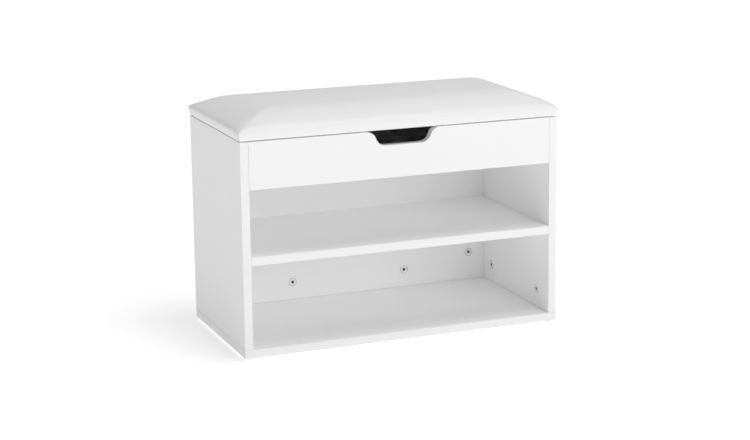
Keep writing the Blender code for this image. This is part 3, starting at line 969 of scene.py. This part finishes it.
def make_screw(node, outward):
    """A countersunk screw head with a round, cone-shaped recess, on its tapered thread."""
    low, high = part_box(node)
    length = abs((high - low).dot(outward))
    middle = (low + high) / 2
    head = middle + outward * length / 2
    radius = max(span for axis, span in enumerate(high - low) if abs(outward[axis]) < 0.5) / 2
    shank, leaf = 1.8 * MM, 1.2 * MM
    profile = [(0, -1.1 * MM), (0.9 * MM, -0.5 * MM), (1.3 * MM, -0.02 * MM), (radius * 0.8, 0)]
    profile += [(radius - 0.1 * MM, -0.02 * MM), (radius, -0.12 * MM), (shank, -leaf)]
    pitch, turns = 1.1 * MM, 7
    for turn in range(turns):
        top = -leaf - 0.3 * MM - turn * pitch
        profile += [(shank * 0.74, top), (shank * 0.74, top - pitch * 0.4), (shank, top - pitch * 0.6)]
    profile += [(shank * 0.5, -length + 0.8 * MM), (0, -length)]
    bm = turned(profile, 24)
    bmesh.ops.transform(bm, matrix=standing(head, outward), verts=bm.verts)
    obj = piece_from(f"{node}_threaded", bm, body_of(node), "steel", "steel")
    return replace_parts(smooth(obj, 40), node)


class BENCH_OT_hinges(bpy.types.Operator):
    """Butt hinges: leaves, pins and screws"""

    bl_idname = "bench.hinges"
    bl_label = "Hinges"

    def execute(self, context):
        for side in SIDES:
            for part in ("body_leaf", "lid_leaf", "pin"):
                refined_metal(f"{side}_hinge_{part}", f"{side}_hinge_{part}_rounded")
            for end in SIDES:
                make_screw(f"{side}_hinge_body_screw_{end}", REAR)
                make_screw(f"{side}_hinge_lid_screw_{end}", -UP)
        return {"FINISHED"}


def make_glide(node):
    """A domed nylon foot on its nail."""
    low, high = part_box(node)
    middle = (low + high) / 2
    radius = (high.x - low.x) / 2
    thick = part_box("bottom_panel")[0].z - 0.3 * MM - low.z
    nail = 1.1 * MM
    soft = 1.2 * MM
    tip = high.z - low.z
    profile = [(0, tip), (nail * 0.3, tip - 0.6 * MM), (nail, tip - 2.4 * MM)]
    profile += [(nail, thick), (radius - 0.3 * MM, thick), (radius, thick - 0.3 * MM)]
    profile += arc(radius - soft, soft, soft, 0, -80, 6)
    profile += [(radius * 0.5, 0.05 * MM), (0, 0)]
    bm = turned(profile, 40)
    bmesh.ops.translate(bm, vec=(middle.x, middle.y, low.z), verts=bm.verts)
    obj = piece_from(f"{node}_domed", bm, body_of(node), "white_plastic", "white_plastic")
    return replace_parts(smooth(obj, 40), node)


def make_bumper(node):
    """A soft stick-on dot with a rolled edge."""
    low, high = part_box(node)
    middle = (low + high) / 2
    radius, thick = (high.x - low.x) / 2, high.z - low.z
    soft = 0.7 * MM
    profile = [(0, thick), (radius - soft, thick)] + arc(radius - soft, thick - soft, soft, 80, 0, 5)
    profile += [(radius, 0.15 * MM), (radius - 0.15 * MM, 0), (0, 0)]
    bm = turned(profile, 40)
    bmesh.ops.translate(bm, vec=(middle.x, middle.y, low.z), verts=bm.verts)
    obj = piece_from(f"{node}_dot", bm, body_of(node), "pale_rubber", "pale_rubber")
    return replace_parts(smooth(obj, 40), node)


class BENCH_OT_feet(bpy.types.Operator):
    """Nail-on glides and the lid's bumpers"""

    bl_idname = "bench.feet"
    bl_label = "Glides and Bumpers"

    def execute(self, context):
        for side in SIDES:
            for row in ROWS:
                make_glide(f"{side}_{row}_glide")
            make_bumper(f"{side}_bumper")
        return {"FINISHED"}


# ---------------------------------------------------------------- stage


# Each softbox: where it stands, its sides and its power.
LIGHTS = {
    "front_softbox": ((2.0, -4.9, 1.7), (4.0, 1.8), 84),
    "overhead_softbox": ((0.2, -0.2, 3.0), (1.4, 2.4), 50),
}
LIT_POINT = Vector((0, 0, 0.2))


def area_light(name, place, sides, power):
    """A softbox at a place, turned towards the bench."""
    light = bpy.data.lights.new(name, "AREA")
    light.shape = "RECTANGLE"
    light.size, light.size_y = sides
    light.energy = power
    obj = bpy.data.objects.new(name, light)
    bpy.context.scene.collection.objects.link(obj)
    obj.location = place
    obj.rotation_euler = (LIT_POINT - Vector(place)).to_track_quat("-Z", "Y").to_euler()
    return obj


class BENCH_OT_stage(bpy.types.Operator):
    """Pale floor, soft studio light and the camera"""

    bl_idname = "bench.stage"
    bl_label = "Stage"

    def execute(self, context):
        scene = context.scene
        settings = scene.bench_stage
        scene.view_settings.view_transform = "Standard"
        scene.view_settings.gamma = settings.brightening
        scene.cycles.diffuse_bounces = 12
        scene.world = self.make_world(settings)
        self.make_floor(settings)
        self.make_camera(scene, settings)
        for name, (place, sides, power) in LIGHTS.items():
            area_light(name, place, sides, power)
        return {"FINISHED"}

    def make_world(self, settings):
        """Even light all round, weaker from the left."""
        world = bpy.data.worlds.new("studio")
        world.use_nodes = True
        nodes, links = world.node_tree.nodes, world.node_tree.links
        way = nodes.new("ShaderNodeTexCoord")
        split = nodes.new("ShaderNodeSeparateXYZ")
        level = nodes.new("ShaderNodeMapRange")
        level.inputs["From Min"].default_value = -1
        level.inputs["To Min"].default_value = settings.left_air
        level.inputs["To Max"].default_value = settings.right_air
        links.new(way.outputs["Generated"], split.inputs[0])
        links.new(split.outputs["X"], level.inputs["Value"])
        links.new(level.outputs["Result"], nodes["Background"].inputs["Strength"])
        nodes["Background"].inputs["Color"].default_value = (1, 1, 1, 1)
        return world

    def make_floor(self, settings):
        """A pale floor that glows more the further it is from the bench."""
        bm = bmesh.new()
        bmesh.ops.create_grid(bm, x_segments=8, y_segments=8, size=settings.floor_side / 2)
        mesh = bpy.data.meshes.new("floor")
        bm.to_mesh(mesh)
        bm.free()
        floor = bpy.data.objects.new("floor", mesh)
        bpy.context.scene.collection.objects.link(floor)
        floor.location.z = CAD_BOX[0].z
        finish = Finish("pale_floor", Specular_IOR_Level=0.0, Emission_Strength=1.0)
        tone = finish.mix(finish.noise(1.5, 2), (0.88, 0.88, 0.88), (0.9, 0.9, 0.9))
        away = finish.node("ShaderNodeVectorMath", {"operation": "LENGTH"}, {0: finish.place}, "Value")
        near, around, far = (0.40, 0.40, 0.40), (0.66, 0.66, 0.66), (1, 1, 1)
        glow = finish.mix(finish.ramp(away, 0.25, 0.9), near, around)
        glow = finish.mix(finish.ramp(away, 1, 4), glow, far)
        finish.set(Base_Color=tone, Roughness=0.9, Emission_Color=glow)
        mesh.materials.append(finish.material)

    def make_camera(self, scene, settings):
        data = bpy.data.cameras.new("camera")
        data.lens = settings.lens
        data.sensor_width = 36
        data.shift_x = settings.lens_shift_x
        data.shift_y = settings.lens_shift_y
        data.clip_end = 200
        camera = bpy.data.objects.new("camera", data)
        scene.collection.objects.link(camera)
        turn = Matrix.Rotation(-settings.camera_turn, 4, "Z")
        tilt = Matrix.Rotation(math.pi / 2 - settings.camera_tilt, 4, "X")
        roll = Matrix.Rotation(settings.camera_roll, 4, "Z")
        camera.matrix_world = Matrix.Translation(settings.camera_place) @ turn @ tilt @ roll
        scene.camera = camera


# ---------------------------------------------------------------- panel and registration


OPERATORS = (BENCH_OT_stage, BENCH_OT_boards, BENCH_OT_lid, BENCH_OT_cams, BENCH_OT_hinges, BENCH_OT_feet)


class BENCH_PT_finishes(bpy.types.Panel):
    """Sizes, colours and pieces of the bench"""

    bl_idname = "BENCH_PT_finishes"
    bl_label = "Bench Finishes"
    bl_space_type = "VIEW_3D"
    bl_region_type = "UI"
    bl_category = "Bench"

    def draw(self, context):
        for attribute, group in GROUPS.items():
            box = self.layout.box()
            for prop in group.__annotations__:
                box.prop(getattr(context.scene, attribute), prop)
        for operator in OPERATORS:
            self.layout.operator(operator.bl_idname)


CLASSES = (*GROUPS.values(), *OPERATORS, BENCH_PT_finishes)


def register():
    for cls in CLASSES:
        bpy.utils.register_class(cls)
    for attribute, group in GROUPS.items():
        setattr(bpy.types.Scene, attribute, bpy.props.PointerProperty(type=group))


def unregister():
    for attribute in GROUPS:
        delattr(bpy.types.Scene, attribute)
    for cls in reversed(CLASSES):
        bpy.utils.unregister_class(cls)


def main():
    register()
    for operator in OPERATORS:
        category, name = operator.bl_idname.split(".")
        getattr(getattr(bpy.ops, category), name)()


if __name__ == "__main__":
    main()
